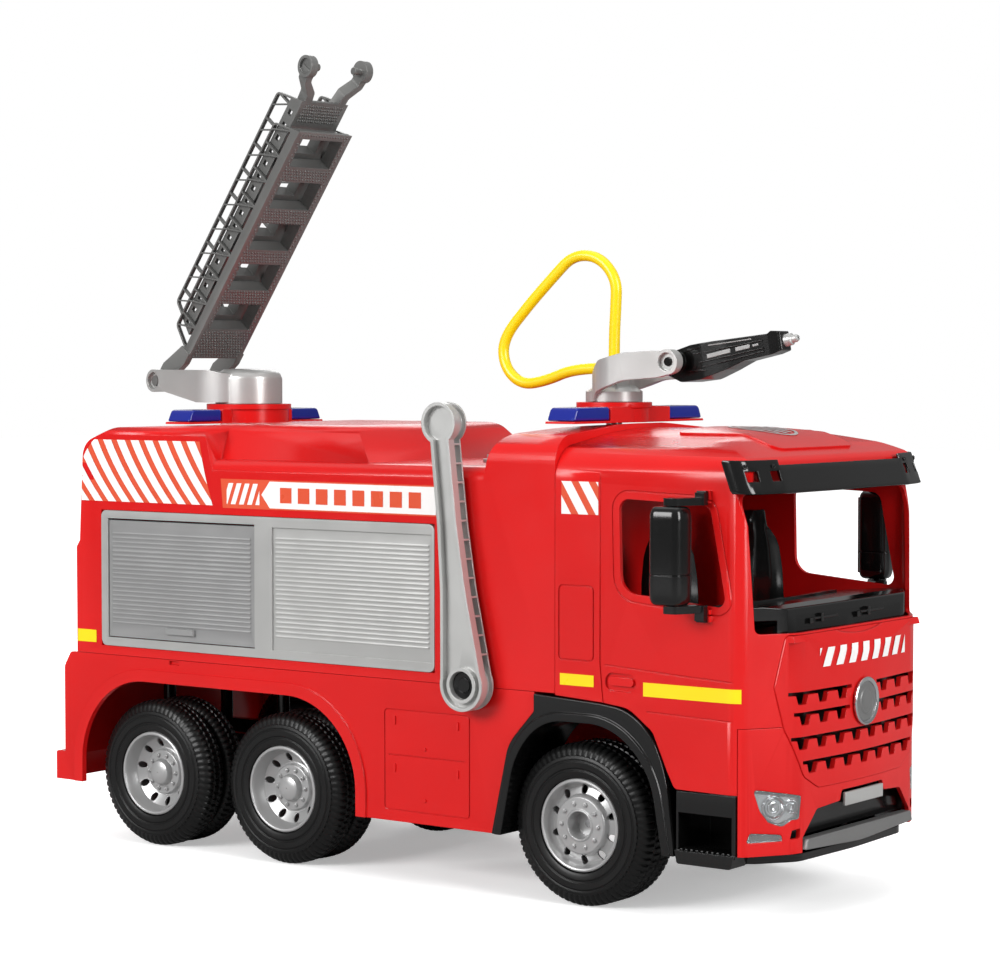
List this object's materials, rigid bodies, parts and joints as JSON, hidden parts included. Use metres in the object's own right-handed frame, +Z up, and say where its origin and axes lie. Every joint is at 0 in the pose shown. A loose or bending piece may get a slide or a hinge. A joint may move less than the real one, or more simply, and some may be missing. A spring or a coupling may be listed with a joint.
{
  "type": "toy fire engine",
  "caption": "Toy fire engine with a swivelling extending ladder, a tilting water cannon with a hose, ribbed shutter doors and a hand pump lever",
  "frame": {"origin": "on the ground, at the centre of the bounding box's bottom face", "axes": "+X towards the front of the vehicle, +Y to its left side, +Z up"},
  "size_m": [0.651, 0.2956, 0.5978],
  "materials": {
    "red_plastic": "glossy",
    "silver_plastic": "satin, metallic grey",
    "silver_rim": "satin, metallic grey",
    "black_plastic": "satin",
    "ladder_grey": "satin grey",
    "tyre_rubber": "matte",
    "steel": "bright",
    "clear_lamp": "clear, silvered behind",
    "blue_lamp": "glossy, translucent",
    "yellow_hose": "soft, satin",
    "grey_plastic": "satin"
  },
  "bodies": {
    "chassis": {"lower_body": "red_plastic", "underframe": "black_plastic", "screws": "steel", "upper_body": "red_plastic", "shutter_frame_right": "silver_plastic", "shutter_frame_left": "silver_plastic", "cab_shell": "red_plastic", "cab_floor": "black_plastic", "dashboard": "black_plastic", "seats": "black_plastic", "visor": "black_plastic", "front_panel": "red_plastic", "bumper": "red_plastic", "grille_backing": "black_plastic", "badge": "silver_plastic", "number_plate": "silver_plastic", "skid_bar": "black_plastic", "headlight_right": "clear_lamp", "headlight_left": "clear_lamp", "front_fender_right": "black_plastic", "front_fender_left": "black_plastic", "step_right": "black_plastic", "step_left": "black_plastic", "light_bar_rear": "red_plastic", "light_bar_front": "red_plastic", "beacons": "blue_lamp", "pump_barrel": "grey_plastic", "water_tank": "grey_plastic", "filler_cap": "grey_plastic", "inner_hose": "grey_plastic", "mirror_brackets": "black_plastic"},
    "door_right": {"shutter_door_right": "silver_plastic"},
    "door_left": {"shutter_door_left": "silver_plastic"},
    "rear_wheels": {"rear_axle": "steel", "rear_tyre_right": "tyre_rubber", "rear_tyre_left": "tyre_rubber", "rear_rim_right": "silver_rim", "rear_rim_left": "silver_rim"},
    "middle_wheels": {"middle_axle": "steel", "middle_tyre_right": "tyre_rubber", "middle_tyre_left": "tyre_rubber", "middle_rim_right": "silver_rim", "middle_rim_left": "silver_rim"},
    "front_wheels": {"front_axle": "steel", "front_tyre_right": "tyre_rubber", "front_tyre_left": "tyre_rubber", "front_rim_right": "silver_rim", "front_rim_left": "silver_rim"},
    "ladder_base": {"ladder_turntable": "silver_plastic"},
    "ladder": {"ladder_lower": "ladder_grey"},
    "ladder_top": {"ladder_upper": "ladder_grey"},
    "cannon_base": {"cannon_turntable": "silver_plastic", "hose": "yellow_hose"},
    "cannon": {"cannon_body": "black_plastic", "cannon_nozzle": "silver_plastic"},
    "lever": {"pump_lever": "silver_plastic", "pump_shaft": "grey_plastic"},
    "plunger": {"pump_plunger": "grey_plastic"},
    "mirror_r": {"mirror_right": "black_plastic"},
    "mirror_l": {"mirror_left": "black_plastic"}
  },
  "joints": [
    {"name": "rear_axle_spin", "type": "hinge", "parent": "chassis", "child": "rear_wheels", "pos_m": [-0.2279, 0, 0.0555], "axis": [0, 1, 0], "continuous": true},
    {"name": "middle_axle_spin", "type": "hinge", "parent": "chassis", "child": "middle_wheels", "pos_m": [-0.0983, 0, 0.0555], "axis": [0, 1, 0], "continuous": true},
    {"name": "front_axle_spin", "type": "hinge", "parent": "chassis", "child": "front_wheels", "pos_m": [0.1661, 0, 0.0555], "axis": [0, 1, 0], "continuous": true},
    {"name": "ladder_turn", "type": "hinge", "parent": "chassis", "child": "ladder_base", "pos_m": [-0.227, 0, 0.3357], "axis": [0, 0, 1], "range_deg": [-170, 170]},
    {"name": "ladder_raise", "type": "hinge", "parent": "ladder_base", "child": "ladder", "pos_m": [-0.30108, 0.01173, 0.3535], "axis": [-0.1564, -0.9877, 0], "range_deg": [-22, 30]},
    {"name": "ladder_extend", "type": "slide", "parent": "ladder", "child": "ladder_top", "axis": [0.6175, -0.0978, 0.7804], "range_m": [0, 0.14]},
    {"name": "cannon_turn", "type": "hinge", "parent": "chassis", "child": "cannon_base", "pos_m": [0.12, 0, 0.3398], "axis": [0, 0, 1], "range_deg": [-170, 170]},
    {"name": "cannon_raise", "type": "hinge", "parent": "cannon_base", "child": "cannon", "pos_m": [0.182, 0, 0.368], "axis": [0, -1, 0], "range_deg": [-18, 40]},
    {"name": "door_right_hinge", "type": "hinge", "parent": "chassis", "child": "door_right", "pos_m": [-0.1935, -0.1126, 0.246], "axis": [-1, 0, 0], "range_deg": [0, 95]},
    {"name": "door_left_hinge", "type": "hinge", "parent": "chassis", "child": "door_left", "pos_m": [-0.1935, 0.1126, 0.246], "axis": [1, 0, 0], "range_deg": [0, 95]},
    {"name": "lever_swing", "type": "hinge", "parent": "chassis", "child": "lever", "pos_m": [0.0828, -0.125, 0.1464], "axis": [0, 1, 0], "range_deg": [-30, 30]},
    {"name": "plunger_stroke", "type": "slide", "parent": "chassis", "child": "plunger", "axis": [0, 0, 1], "range_m": [-0.0073, 0.0073]},
    {"name": "mirror_right_swivel", "type": "hinge", "parent": "chassis", "child": "mirror_r", "pos_m": [0.257, -0.137, 0.243], "axis": [0, 0, 1], "range_deg": [-20, 20]},
    {"name": "mirror_left_swivel", "type": "hinge", "parent": "chassis", "child": "mirror_l", "pos_m": [0.257, 0.137, 0.243], "axis": [0, 0, 1], "range_deg": [-20, 20]}
  ],
  "couplings": [
    {"joint": "plunger_stroke", "follows": "lever_swing", "m_per_rad": 0.01365}
  ]
}
